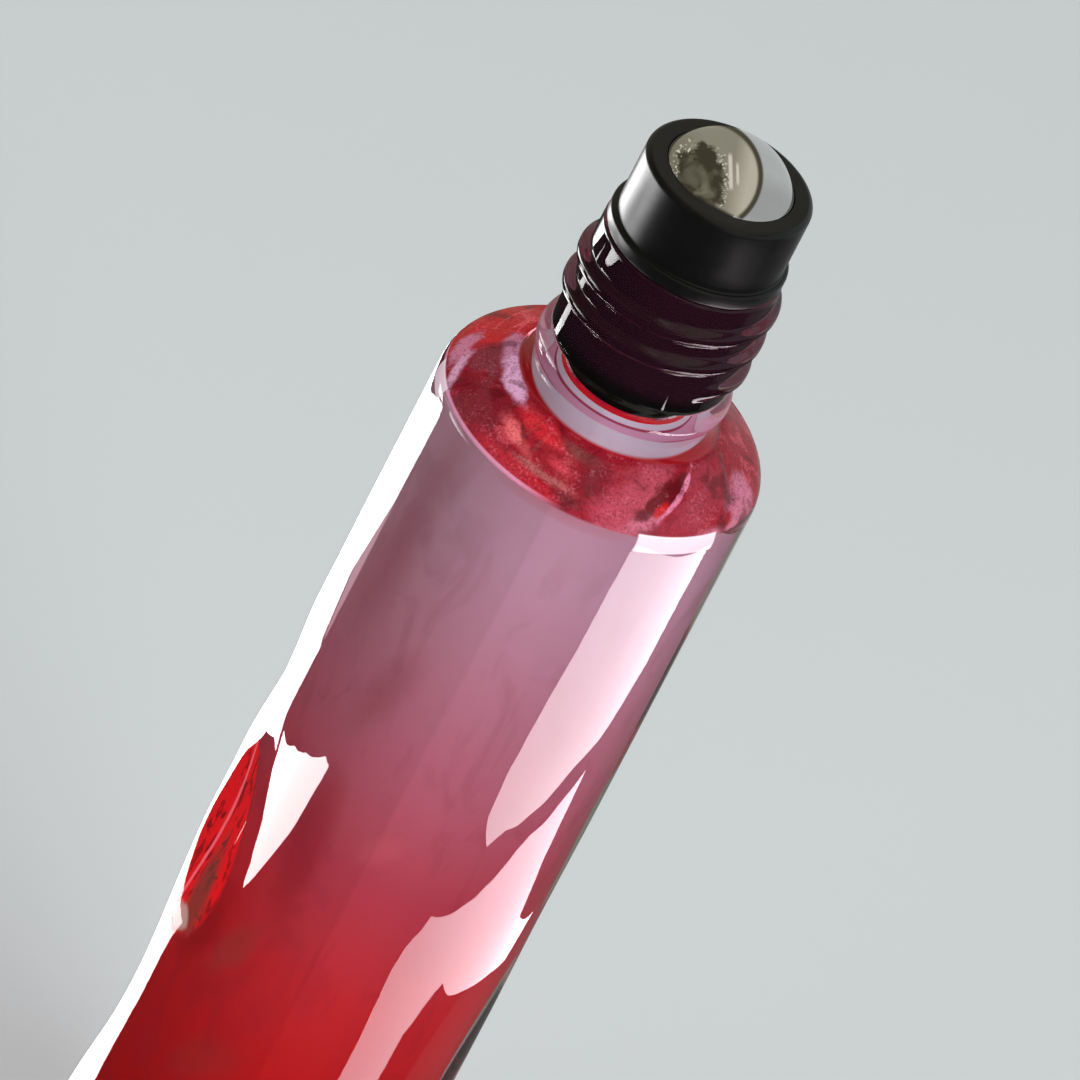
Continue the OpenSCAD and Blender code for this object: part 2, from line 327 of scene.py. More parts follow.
# The oil's lobes: painted shade on its left side, away from the light, and a painted highlight at its front
OIL_LOBES = (
    (-66, 22, 60, 11, 0.5, (176, 96, 118), 0.5, 0.1),
    (-34, 13, 50, 5, 0.4, (176, 96, 100), 2, 0.2),
    (-34, 15, 38, 7.5, 0.5, (176, 40, 54), -0.6, 0.3),
    (-44, 10, 27.5, 3.5, 0.4, (180, 92, 84), 2.5, 0.3),
    (-68, 16, 27, 4.5, 0.5, (160, 26, 32), 1, 0.4),
    (0, 10, 40.5, 1.6, 0.35, (240, 124, 140), 4, 0.4),
    (-30, 16, 20, 3, 0.35, (180, 70, 66), 5, 0.2),
)


@dataclass(frozen=True)
class ClearGlass:
    """Clear glass with a faint pink tint, which lets the lamps through to what it holds. On the shoulder,
    the neck and a dimple at the left, the oil and the plug are painted in as they show through it, with
    painted shade, sheens and highlights, and a painted red that glows in the leaf and in a ring in the bore.
    """

    tint: Colour = (0.98, 0.95, 0.965)
    light_tint: Colour = (0.98, 0.95, 0.96)
    depth_tint: Colour = (0.75, 0.5, 0.54)
    depth_density: float = 65.0
    ior: float = 1.5
    ripple: float = 0.000012
    ripple_scale: float = 220.0
    # Bands of height, in metres, with how soft their ends are. The shoulder's slope is painted with the
    # oil's red as it shows through the glass
    slope: Band = (0.0708, 0.0735, 0.0002)
    # Painted highlight at the tops of the strips of light, on the shoulder's edge
    strip_tops: Band = (0.0697, 0.07085, 0.0001)
    # The bead's sides are painted pink, as the oil shows through them
    bead: Band = (0.0744, 0.0765, 0.0004)
    # A ring in the bore is painted red and glows, though it is no lamp
    ring: Band = (0.07483, 0.07502, 0.00001)
    # The neck's thread is painted dark where the black plug shows through it
    thread: Band = (0.0784, 0.086, 0.0012)
    neck_from: Point = (0.0766, 0.077)
    # Radii, in metres, and directions
    slope_from: Point = (0.0066, 0.0068)
    ring_to: Point = (0.0041, 0.0043)
    bead_from: Point = (35, 70)
    strip_spans: tuple[Band, Band] = ((29.5, 61, 1), (-80, -64, 1))
    # The deep dimple at the left is painted with the oil's red as a leaf, which glows: middle and half turn,
    # middle height and half
    leaf: tuple[float, ...] = (-69, 25, 0.0335, 0.0078)
    leaf_edge: Point = (0.86, 1)
    leaf_lean: float = -1000.0
    # Painted on the glass: the oil's crimson as the shoulder shows it, maroon shade, pink clouds, grain for
    # specks of pink sheen, a highlight line at the edge, and the leaf's glowing red
    crimson: Colour = screen(142, 26, 40)
    maroon: Colour = screen(74, 12, 20)
    blush: Colour = screen(204, 76, 88)
    grain: Colour = screen(214, 140, 166)
    edge_line: Colour = screen(222, 152, 184)
    leaf_red: Colour = screen(196, 20, 26)
    leaf_dark: Colour = screen(96, 14, 16)
    leaf_glow: float = 0.45
    glow_share: float = 0.93
    thread_share: float = 0.6
    bead_share: float = 0.4
    top_share: float = 0.85
    # Painted dark over the neck where the plug shows through, and painted pink on the bead's sides
    thread_tint: Colour = screen(38, 12, 24)
    bead_tint: Colour = screen(186, 84, 116)
    # The painted highlight at the tops of the strips of light
    strip_top: Colour = screen(242, 214, 226)
    # Levels on the shoulder are its radius less its height, from the neck's foot to the painted highlight
    # line at its edge
    level_zero: float = -66.36
    line_levels: Band = (6, 6.3, 0.15)
    line_span: Band = (-80, -20, 24)

    def shoulder_glow(self, bench: NodeBench, place: Socket, *where: Signal) -> Socket:
        """Builds the shoulder's painted crimson, the oil's red as it shows through, with lobes of painted
        shade and sheen, fine specks and the painted highlight line at its edge.

        Args:
            bench: The bench of the material.
            place: The place on the glass.
            where: The direction, how far down the slope it is, and how far the lobes' edges wander there.

        Returns:
            The colour.
        """
        spin, level, _ = where
        clouds = bench.noise(place, 520, 4, 0.9)
        specks = bench.noise(place, 6000, 2)
        # Specks of painted pink sheen
        sheen_specks = (1 - specks).rise(0.54, 0.66) * clouds.rise(0.48, 0.6)
        line = level.band(*self.line_levels) * spin.band(*self.line_span)
        colour = bench.mixed(clouds.rise(0.54, 0.68) * 0.5, self.crimson, self.blush)
        return bench.layered(
            bench.lobed(colour, SHOULDER_LOBES, *where),
            ((1 - clouds).rise(0.54, 0.66) * 0.6, self.maroon),
            (specks.rise(0.5, 0.62) * 0.4, self.maroon),
            (sheen_specks * 0.18, self.grain), (line * 0.75, self.edge_line))

    def glow(self, bench: NodeBench) -> tuple[Signal, Socket]:
        """Builds the painted colours of the shoulder, the leaf and the neck: the oil and the plug as they
        show through the glass, painted shade and sheens, a painted red that glows in the leaf and the bore,
        and the painted pale tops of the strips of light.

        Args:
            bench: The bench of the material.

        Returns:
            Where the painted colours are, and their shader.
        """
        place, spin, radius, height = bench.spot()
        middle, half_turn, middle_height, half_height = self.leaf
        across = (spin - middle - (height - middle_height) * self.leaf_lean) / half_turn
        leaf = across.hypot((height - middle_height) / half_height).fall(*self.leaf_edge)
        # Where colour is painted: the oil's red on the slope, the dark over the thread, the glowing red
        # ring, the pink on the bead's sides and the highlight at the strips' tops
        slope = height.band(*self.slope) * radius.rise(*self.slope_from)
        thread = height.band(*self.thread)
        ring = height.band(*self.ring) * radius.fall(*self.ring_to)
        bead = height.band(*self.bead) * spin.math("ABSOLUTE").rise(*self.bead_from)
        right, left = (spin.band(*span) for span in self.strip_spans)
        tops = height.band(*self.strip_tops) * (right + left)
        wave = (bench.noise(place, 600, 4, 0.8) - 0.5) * 1.5
        mottle = bench.noise(place, (1300, 1300, 650), 4, 0.8)
        red = bench.mixed(mottle.rise(0.5, 0.64) * 0.8, self.leaf_red, self.leaf_dark)
        red = bench.lobed(red, LEAF_LOBES, spin, height / MM, wave * 0.3)
        red = bench.mixed(ring, red, bench.mixed(mottle, self.leaf_red, self.crimson))
        level = (radius - height) / MM - self.level_zero
        colour = self.shoulder_glow(bench, place, spin, level, wave)
        neck = height.rise(*self.neck_from)
        colour = bench.layered(
            colour, (bead, self.bead_tint), (neck, self.thread_tint), (tops, self.strip_top))
        lit = leaf + ring
        shader = bench.glowing(lit, colour, red, self.leaf_glow, 0.5)
        share = (slope + lit) * self.glow_share + thread * self.thread_share + bead * self.bead_share
        return share.math("MAXIMUM", tops * self.top_share), shader

    def made(self) -> bpy.types.Material:
        """Builds the material."""
        bench = NodeBench(bpy.data.materials.new("bottle_glass_clear"))
        ripple = bench.noise(bench.place(), self.ripple_scale, 1)
        glass = bench.out("BsdfPrincipled", {
            "Base Color": self.tint, "Roughness": 0, "IOR": self.ior, "Transmission Weight": 1,
            "Normal": bench.bump(ripple, self.ripple)})
        through = bench.out("BsdfTransparent", {"Color": self.light_tint})
        shadow = bench.add("LightPath").outputs["Is Shadow Ray"]
        share, glow = self.glow(bench)
        glass = bench.out("MixShader", {0: share, 1: glass, 2: glow})
        skin = bench.out("MixShader", {0: shadow, 1: glass, 2: through})
        depth = bench.out("VolumeAbsorption", {"Color": self.depth_tint, "Density": self.depth_density})
        return bench.finish(skin, Volume=depth)


@dataclass(frozen=True)
class TintedOil:
    """The tinted oil: mauve under the shoulder, rose in the middle and deep red below, with painted shade
    and reflections, and a top that glows.
    """

    foot_red: Colour = screen(200, 24, 26)
    deep_red: Colour = screen(226, 42, 48)
    bright_red: Colour = screen(234, 60, 68)
    rose: Colour = screen(218, 88, 108)
    dusty_rose: Colour = screen(222, 148, 174)
    mauve: Colour = screen(232, 192, 218)
    lilac: Colour = screen(232, 226, 250)
    neck_mauve: Colour = screen(226, 176, 214)
    # Wine paints dark lines and specks, crimson the glowing top, and dusk the streaks of painted shade
    wine: Colour = screen(170, 30, 70)
    crimson: Colour = screen(210, 26, 48)
    dusk: Colour = screen(150, 52, 70)
    top_glow: float = 0.5
    # Heights in the neck, in metres, and the radius of the red top. The wine lines are painted dark
    # reflections of the bead's edges, and the red top is painted light that glows in its shade
    low_line: Band = (0.07452, 0.07454, 0.00002)
    high_line: Band = (0.07471, 0.07475, 0.00001)
    mauve_from: Point = (0.07453, 0.07456)
    lilac_from: Point = (0.07476, 0.07477)
    top_from: Point = (0.07476, 0.07479)
    top_to: Point = (0.00385, 0.0039)
    streaks_to: Point = (0.062, 0.068)

    def made(self) -> bpy.types.Material:
        """Builds the material."""
        bench = NodeBench(bpy.data.materials.new("fragrance_oil_tinted"))
        place, spin, radius, height = bench.spot()
        colour = height.stops([
            (0.008, self.foot_red), (0.022, self.deep_red), (0.029, self.bright_red), (0.038, self.rose),
            (0.051, self.dusty_rose), (0.064, self.mauve), (0.0683, self.mauve), (0.06845, self.crimson),
            (0.0708, self.crimson), (0.0714, self.lilac), (0.0743, self.lilac)])
        colour = bench.layered(
            colour, (height.rise(*self.mauve_from), self.neck_mauve),
            (height.band(*self.low_line) * 0.5, self.wine),
            (height.band(*self.high_line) * 0.85, self.wine),
            (height.rise(*self.lilac_from), self.lilac))
        wave = (bench.noise(place, (260, 260, 156), 2, 0.8) - 0.5) * 0.9
        colour = bench.lobed(colour, OIL_LOBES, spin, height / MM, wave)
        # Darker streaks of painted shade over the lower oil
        streaks = bench.noise(place, (360, 360, 144), 3, 1.2)
        streaks = streaks.rise(0.5, 0.68) * height.fall(*self.streaks_to)
        colour = bench.mixed(streaks * 0.16, colour, self.dusk)
        # The top under the plug is painted red and glows, painted light in the shade under the plug
        top = height.rise(*self.top_from) * radius.fall(*self.top_to)
        speck = bench.noise(place, 3000, 2).rise(0.45, 0.6)
        red = bench.mixed(speck * 0.7, self.crimson, self.wine)
        return bench.finish(bench.glowing(top, colour, red, self.top_glow))


@dataclass(frozen=True)
class PlainFinish:
    """A plastic or a metal with a faint cloud in its colour and its gloss.

    cloud_scale is how many swells the cloud has to a metre along X, Y and Z, and grain is the height of the
    fine bumps in metres.
    """

    name: str
    colour: Colour
    cloudy: Colour
    roughness: float
    spread: float
    cloud_scale: Colour
    detail: float = 3.0
    metallic: float = 0.0
    gloss: float = 0.5
    grain: float = 0.0

    def made(self) -> bpy.types.Material:
        """Builds the material."""
        bench = NodeBench(bpy.data.materials.new(self.name))
        place = bench.place()
        cloud = bench.noise(place, self.cloud_scale, self.detail)
        inputs = {
            "Base Color": bench.mixed(cloud, self.colour, self.cloudy), "Metallic": self.metallic,
            "Roughness": cloud * self.spread + self.roughness, "Specular IOR Level": self.gloss}
        if self.grain:
            inputs["Normal"] = bench.bump(bench.noise(place, 9000, 2), self.grain)
        return bench.finish(bench.out("BsdfPrincipled", inputs))


BLACK_PLASTIC = PlainFinish(
    "housing_plastic_black", (0.0022, 0.0022, 0.0021), (0.0048, 0.0048, 0.0049), 0.25, 0.11,
    (700, 700, 700), gloss=0.32, grain=0.000006)
BALL_STEEL = PlainFinish(
    "ball_steel_polished", (0.74, 0.73, 0.71), (0.666, 0.657, 0.639), 0.035, 0.03,
    (900, 900, 900), metallic=1)
SPRING_WIRE = PlainFinish(
    "spring_steel_drawn", (0.62, 0.62, 0.61), (0.558, 0.558, 0.549), 0.22, 0.15,
    (3000, 3000, 600), metallic=1)
SEAT_PLASTIC = PlainFinish(
    "seat_plastic_pale", (0.72, 0.71, 0.68), (0.66, 0.64, 0.6), 0.4, 0.1, (800, 800, 800), 2)


def placed(name: str, data: "bpy.types.ID | bmesh.types.BMesh") -> Piece:
    """Makes an object and links it to the scene.

    Args:
        name: The object's name.
        data: Its mesh, light or camera, or a bmesh, which becomes its mesh.

    Returns:
        The object, at the origin.
    """
    if isinstance(data, bmesh.types.BMesh):
        bm, data = data, bpy.data.meshes.new(name)
        bm.to_mesh(data)
        bm.free()
    piece = bpy.data.objects.new(name, data)
    bpy.context.scene.collection.objects.link(piece)
    return piece


@dataclass
class Outline:
    """A half section, as radii and heights in millimetres, that is spun round the bottle's axis."""

    points: list[Point] = field(default_factory=list)

    def line(self, radius: float, height: float, rows: int = 1) -> "Outline":
        """A straight stretch to a point, split into rows."""
        r, z = self.points[-1] if self.points else (radius, height)
        shares = [i / rows for i in range(1, rows + 1)]
        self.points += [(r + (radius - r) * share, z + (height - z) * share) for share in shares]
        return self

    def arc(self, centre: Point, radius: float, start: float, end: float, steps: int) -> "Outline":
        """An arc about a centre, from one angle to another in degrees."""
        for i in range(steps + 1):
            turn = radians(start + (end - start) * i / steps)
            self.points.append((centre[0] + radius * cos(turn), centre[1] + radius * sin(turn)))
        return self

    def spun(self, name: str, segments: int, crease: float, *materials: bpy.types.Material) -> Piece:
        """Spins the outline full circle, closes its seams and turns its faces outwards.

        Args:
            name: The new piece's name.
            segments: Steps round the circle.
            crease: Edges sharper than this, in degrees, stay sharp.
            materials: Its materials.

        Returns:
            The closed piece, with its place in its mesh.
        """
        bm = bmesh.new()
        corners = [bm.verts.new((r * MM, 0, z * MM)) for r, z in self.points]
        for first, second in zip(corners, corners[1:]):
            bm.edges.new((first, second))
        bmesh.ops.spin(bm, geom=bm.verts[:] + bm.edges[:], cent=(0, 0, 0), axis=(0, 0, 1), dvec=(0, 0, 0),
                       angle=2 * pi, steps=segments, use_merge=True)
        bmesh.ops.remove_doubles(bm, verts=bm.verts, dist=MERGE * MM)
        bmesh.ops.recalc_face_normals(bm, faces=bm.faces)
        piece = placed(name, bm)
        piece.data.shade_smooth()
        piece.data.set_sharp_from_angle(angle=radians(crease))
        for material in materials:
            piece.data.materials.append(material)
        return piece


# The dimples of the hand-made glass, in shares of a turn from +X, of the body's height and of the deepest:
# direction, height, half width, half height and depth
DIMPLES = (
    (0.56, 0.5, 0.08, 0.15, 0.85),
    (0.5, 0.63, 0.06, 0.095, 0.4),
    (0.885, 0.63, 0.08, 0.15, 0.15),
    (0.48, 0.28, 0.11, 0.19, 1),
    (0.655, 0.23, 0.075, 0.14, 0.4),
    (0.93, 0.33, 0.085, 0.17, 0.35),
    (0.06, 0.52, 0.09, 0.18, 0.4),
    (0.79, 0.16, 0.08, 0.11, 0.35),
    (0.2, 0.7, 0.09, 0.16, 0.5),
    (0.15, 0.26, 0.09, 0.17, 0.6),
    (0.34, 0.47, 0.09, 0.18, 0.7),
    (0.31, 0.18, 0.07, 0.12, 0.4),
    (0.44, 0.75, 0.08, 0.13, 0.35),
)


@dataclass
class GlassBottle:
    """The glass: body, shoulder, neck, bead and thread, as one shell with its cavity."""

    body_r: float = 10.7
    body_h: float = 70.0
    base_edge_r: float = 2.0
    punt_r: float = 6.5
    punt_depth: float = 0.7
    base_t: float = 6.5
    shoulder_edge_r: float = 2.25
    shoulder_slope: float = 30.0
    shoulder_t: float = 3.4
    bore_r: float = 4.0
    neck_wall: float = 1.95
    neck_h: float = 12.0
    neck_foot_r: float = 1.1
    rim_round: float = 0.25
    bead_out: float = 0.5
    bead_h: float = 2.5
    bead_up: float = 2.4
    cavity_step: float = 2.3
    cavity_foot_r: float = 3.0
    cavity_edge_share: float = 0.65
    thread_depth: float = 0.55
    thread_pitch: float = 2.3
    thread_turns: float = 2.3
    thread_w: float = 1.35
    thread_drop: float = 6.85
    thread_start: float = -46.0
    thread_runout: float = 42.0
    # How steep the thread's flanks are at their foot, and how round they are
    thread_flat: float = 1.18
    thread_swell: float = 2.2
    dimple_depth: float = 1.0
    # The oil and the plug wet the glass, so its inner wall lies this far inside theirs
    wetted: float = 0.06
    segments: int = 224

    @property
    def neck_r(self) -> float:
        """Radius of the neck at the root of its thread."""
        return self.bore_r + self.neck_wall

    @property
    def shoulder_turn(self) -> float:
        """How far the shoulder's edge turns, in degrees."""
        return 90 - self.shoulder_slope

    @property
    def neck_z(self) -> float:
        """Height of the neck's foot."""
        turn = radians(self.shoulder_turn)
        slope_r = self.body_r - self.shoulder_edge_r + self.shoulder_edge_r * cos(turn)
        rise = (slope_r - self.neck_r - self.neck_foot_r) * tan(radians(self.shoulder_slope))
        return self.body_h + self.shoulder_edge_r * sin(turn) + rise

    @property
    def rim_z(self) -> float:
        """Height of the neck's rim."""
        return self.neck_z + self.neck_h

    @property
    def thread_low(self) -> float:
        """Height under which the thread can't reach."""
        return self.rim_z - self.thread_drop - self.thread_w

    def outside(self, outline: Outline) -> None:
        """Adds the outside's half section, from the middle of the base to the rim."""
        punt_ball = (self.punt_r ** 2 + self.punt_depth ** 2) / (2 * self.punt_depth)
        rise = degrees(asin(self.punt_r / punt_ball))
        outline.arc((0, self.punt_depth - punt_ball), punt_ball, 90, 90 - rise, 8)
        edge, round_r = self.base_edge_r, self.shoulder_edge_r
        outline.line(self.body_r - edge, 0, 2).arc((self.body_r - edge, edge), edge, -90, 0, 8)
        outline.line(self.body_r, self.body_h, 110)
        outline.arc((self.body_r - round_r, self.body_h), round_r, 0, self.shoulder_turn, 10)
        foot_r, neck_r, neck_z = self.neck_foot_r, self.neck_r, self.neck_z
        foot_x = neck_r + foot_r
        outline.line(foot_x, neck_z, 6).arc((foot_x, neck_z + foot_r), foot_r, 260, 180, 8)
        bead_ball = ((self.bead_h / 2) ** 2 + self.bead_out ** 2) / (2 * self.bead_out)
        spread = degrees(asin(self.bead_h / 2 / bead_ball))
        bead = (neck_r + self.bead_out - bead_ball, neck_z + self.bead_up)
        outline.arc(bead, bead_ball, -spread, spread, 14)
        edge, round_z = self.rim_round, self.rim_z - self.rim_round
        outline.line(neck_r, self.thread_low, 3).line(neck_r, round_z, 66)
        outline.arc((neck_r - edge, round_z), edge, 0, 90, 5)

    def cavity(self, outline: Outline, gap: float, rows: int) -> None:
        """Adds the cavity's half section, from the bore down to the middle of its floor.

        Args:
            outline: The outline that it is added to.
            gap: How far it is drawn in.
            rows: Rows of the straight side.
        """
        wall_r = self.bore_r + self.cavity_step
        edge_r = self.cavity_step * self.cavity_edge_share
        throat_r = self.cavity_step - edge_r
        top_z = self.neck_z - self.shoulder_t
        foot = (wall_r - self.cavity_foot_r, self.base_t + self.cavity_foot_r)
        outline.line(self.bore_r - gap, top_z + throat_r, 8)
        outline.arc((self.bore_r + throat_r, top_z + throat_r), throat_r + gap, 180, 270, 10)
        outline.arc((wall_r - edge_r, top_z - edge_r), edge_r - gap, 90, 0, 10)
        outline.line(wall_r - gap, foot[1], rows)
        outline.arc(foot, self.cavity_foot_r - gap, 0, -90, 8)
        outline.line(0, self.base_t + gap, 4)

    def inside(self, outline: Outline) -> None:
        """Adds the inner wall's half section, from the rim to the middle of the cavity's floor."""
        mouth = (self.bore_r - self.wetted + self.rim_round, self.rim_z - self.rim_round)
        outline.arc(mouth, self.rim_round, 90, 180, 5)
        self.cavity(outline, self.wetted, 6)

    def relief(self, turn: np.ndarray, height: np.ndarray) -> tuple[np.ndarray, np.ndarray]:
        """How far the dimples go into the body, and how far the thread stands out of the neck.

        Args:
            turn: Directions, in degrees from +X.
            height: Heights, in millimetres.

        Returns:
            Both at each place, in millimetres.
        """
        hollow = np.zeros_like(turn)
        for direction, middle, half_width, half_height, depth in DIMPLES:
            away = turn / 360 - direction
            across = (away - np.round(away)) / half_width
            reach = np.minimum(np.hypot(across, (height / self.body_h - middle) / half_height), 1)
            hollow += self.dimple_depth * depth * np.cos(reach * pi / 2) ** 2
        thread = np.zeros_like(turn)
        for lap in range(ceil(self.thread_turns)):
            along = (turn - self.thread_start) % 360 + 360 * lap
            left = 360 * self.thread_turns - along
            grown = np.sin(np.clip(np.minimum(along, left) / self.thread_runout, 0, 1) * pi / 2)
            middle = self.rim_z - self.thread_drop + self.thread_pitch * along / 360
            across = np.clip((1 - np.abs(height - middle) / (self.thread_w / 2)) * self.thread_flat, 0, 1)
            thread = np.maximum(thread, self.thread_depth * grown * (1 - (1 - across) ** self.thread_swell))
        return hollow, thread

    def shape(self, piece: Piece) -> None:
        """Moves the shell's points into the dimples and out to the thread."""
        points = piece.data.vertices
        places = np.empty(len(points) * 3)
        points.foreach_get("co", places)
        x, y, height = places.reshape(-1, 3).T / MM
        radius, turn = np.hypot(x, y), np.degrees(np.arctan2(y, x))
        body = (radius > self.neck_r + self.neck_foot_r) & (height < self.body_h + self.shoulder_edge_r)
        neck = (radius > self.neck_r - NEAR) & (height > self.thread_low)
        hollow, thread = self.relief(turn, height)
        out = np.where(neck, thread, 0) - np.where(body, hollow, 0)
        grown = 1 + out / np.maximum(radius, NEAR)
        points.foreach_set("co", (np.stack((x * grown, y * grown, height), 1) * MM).ravel())
        piece.data.update()

    def build(self) -> Piece:
        """Builds and dresses the glass."""
        outline = Outline()
        self.outside(outline)
        self.inside(outline)
        piece = outline.spun("bottle_glass", self.segments, 50, ClearGlass().made())
        self.shape(piece)
        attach(piece, "bottle")
        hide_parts("glass_bottle")
        return piece


@dataclass
class FragranceOil:
    """The oil, which fills the cavity and the foot of the bore."""

    glass: GlassBottle
    gap: float = 0.05
    depth_below_rim: float = 10.5
    meniscus: float = 0.1
    segments: int = 160

    def build(self) -> Piece:
        """Builds and dresses the oil."""
        edge = self.glass.bore_r - self.gap
        top_z = self.glass.rim_z - self.depth_below_rim
        outline = Outline().line(0, top_z - self.meniscus)
        outline.arc((edge - self.meniscus, top_z), self.meniscus, -90, 0, 5)
        self.glass.cavity(outline, self.gap, 40)
        piece = outline.spun("fragrance_fill", self.segments, 40, TintedOil().made())
        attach(piece, "bottle")
        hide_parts("fragrance_oil")
        return piece


@dataclass
class RollerCartridge:
    """The black housing with its plug, ribs, flange and collar, and the ball that it holds."""

    glass: GlassBottle
    ball_r: float = 4.75
    ball_rise: float = 2.5
    ball_gap: float = 0.05
    ball_travel: float = 0.3
    rim_wall: float = 0.42
    socket_wall: float = 0.75
    collar_round: float = 0.45
    collar_foot_r: float = 0.12
    flange_inset: float = 0.05
    flange_t: float = 1.0
    flange_round: float = 0.2
    plug_len: float = 10.4
    plug_gap: float = 0.05
    plug_wall: float = 0.85
    plug_floor_t: float = 0.8
    plug_chamfer: float = 0.1
    rib_count: int = 3
    rib_h: float = 0.7
    rib_bite: float = 0.03
    segments: int = 192

    @property
    def plug_r(self) -> float:
        """Radius of the plug."""
        return self.glass.bore_r - self.plug_gap

    @property
    def socket_r(self) -> float:
        """Radius of the socket."""
        return self.ball_r + self.ball_gap

    @property
    def ball_z(self) -> float:
        """Height of the ball's centre."""
        drop = sqrt(self.socket_r ** 2 - (self.plug_r - self.rim_wall) ** 2)
        return self.glass.rim_z + self.ball_travel + drop

    def skin(self, outline: Outline) -> None:
        """Adds the outside's half section, from the plug's floor to the collar's lip."""
        rim_z, plug_r = self.glass.rim_z, self.plug_r
        plug_z = rim_z - self.plug_len
        outline.line(0, plug_z).line(plug_r - self.plug_chamfer, plug_z, 3)
        outline.line(plug_r, plug_z + self.plug_chamfer)
        rib_r = self.rib_h / 2
        rib_x = self.glass.bore_r + self.rib_bite - rib_r
        spread = degrees(acos((plug_r - rib_x) / rib_r))
        for i in range(1, self.rib_count + 1):
            rib_z = plug_z + self.plug_len * i / (self.rib_count + 1)
            outline.arc((rib_x, rib_z), rib_r, -spread, spread, 6)
        flange_r = self.glass.neck_r - self.flange_inset
        flange_z = rim_z + self.flange_t
        edge = flange_r - self.flange_round
        outline.line(plug_r, rim_z).line(edge, rim_z)
        outline.arc((edge, rim_z + self.flange_round), self.flange_round, -90, 0, 5)
        outline.arc((edge, flange_z - self.flange_round), self.flange_round, 0, 90, 5)
        collar_r = self.socket_r + self.socket_wall
        collar_z = self.ball_z + self.ball_r - self.ball_rise
        foot_r, round_r = self.collar_foot_r, self.collar_round
        foot_x = collar_r + foot_r
        outline.line(foot_x, flange_z).arc((foot_x, flange_z + foot_r), foot_r, 270, 180, 4)
        outline.line(collar_r, collar_z - round_r, 4)
        outline.arc((collar_r - round_r, collar_z - round_r), round_r, 0, 90, 9)

    def hollow(self, outline: Outline) -> None:
        """Adds the inside's half section, from the lip to the middle of the plug's floor."""
        lip = degrees(asin((self.ball_r - self.ball_rise) / self.socket_r))
        inner_r = self.plug_r - self.plug_wall
        low = degrees(acos(inner_r / self.socket_r))
        outline.arc((0, self.ball_z), self.socket_r, lip, 0, 8)
        outline.arc((0, self.ball_z - self.ball_travel), self.socket_r, 0, -low, 12)
        floor_z = self.glass.rim_z - self.plug_len + self.plug_floor_t
        outline.line(inner_r, floor_z, 4).line(0, floor_z, 3)

    def build_housing(self) -> Piece:
        """Builds and dresses the housing."""
        outline = Outline()
        self.skin(outline)
        self.hollow(outline)
        in_glass = replace(BLACK_PLASTIC, name="housing_plastic_in_glass", gloss=0)
        piece = outline.spun("housing_shell", self.segments, 35, BLACK_PLASTIC.made(), in_glass.made())
        for face in piece.data.polygons:
            face.material_index = int(face.center.z < self.glass.rim_z * MM)
        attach(piece, "bottle")
        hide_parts("roller_housing")
        return piece

    def build_ball(self) -> Piece:
        """Builds and dresses the ball."""
        outline = Outline().arc((0, self.ball_z), self.ball_r, -90, 90, 96)
        piece = outline.spun("steel_ball", self.segments, 40, BALL_STEEL.made())
        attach(piece, "ball")
        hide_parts("roller_ball")
        return piece

    def dress_hidden(self) -> None:
        """Gives the seat and the spring, whose shapes stay, their materials.

        The spring is given a mesh of its own.
        """
        for name, finish in (("ball_seat", SEAT_PLASTIC), ("seat_spring", SPRING_WIRE)):
            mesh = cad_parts[name].data
            mesh.materials.clear()
            mesh.materials.append(finish.made())
        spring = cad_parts["seat_spring"]
        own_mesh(spring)


class Lamp(Enum):
    """The soft lamps: place and size in metres, and power in watts."""

    KEY = ((0.5, -0.42, 0.34), 0.65, 5.2)
    TOP = ((-0.2, 0.1, 0.85), 0.8, 2.6)
    FILL = ((-0.5, -0.6, 0.25), 0.5, 1.8)


@dataclass(frozen=True)
class StripLight:
    """A soft upright panel close to the bottle, seen only in reflections.

    Sizes are in millimetres. It stands over the line on the floor from first towards second, its outline is
    in distances along that line and heights, and its strength grows from low to high.
    """

    name: str
    first: Point
    second: Point
    outline: tuple[Point, ...]
    low_strength: float
    high_strength: float
    colour: Colour = WHITE
    low: float = -10.0
    high: float = 25.0

    def build(self) -> None:
        """Builds the panel."""
        start = Vector((*self.first, 0))
        along = (Vector((*self.second, 0)) - start).normalized()
        bm = bmesh.new()
        corners = [bm.verts.new((start + along * away + Vector((0, 0, height))) * MM)
                   for away, height in self.outline]
        edges = [bm.edges.new((first, second)) for first, second in zip(corners, corners[1:] + corners[:1])]
        bmesh.ops.triangle_fill(bm, use_beauty=True, edges=edges)
        panel = placed(self.name, bm)
        bench = NodeBench(bpy.data.materials.new(self.name))
        height = bench.split(bench.place())[2]
        share = height.rise(self.low * MM, self.high * MM)
        strength = share * (self.high_strength - self.low_strength) + self.low_strength
        light = bench.out("Emission", {"Color": self.colour, "Strength": strength})
        panel.data.materials.append(bench.finish(light))
        for ray in ("camera", "diffuse", "transmission", "shadow", "volume_scatter"):
            setattr(panel, f"visible_{ray}", False)


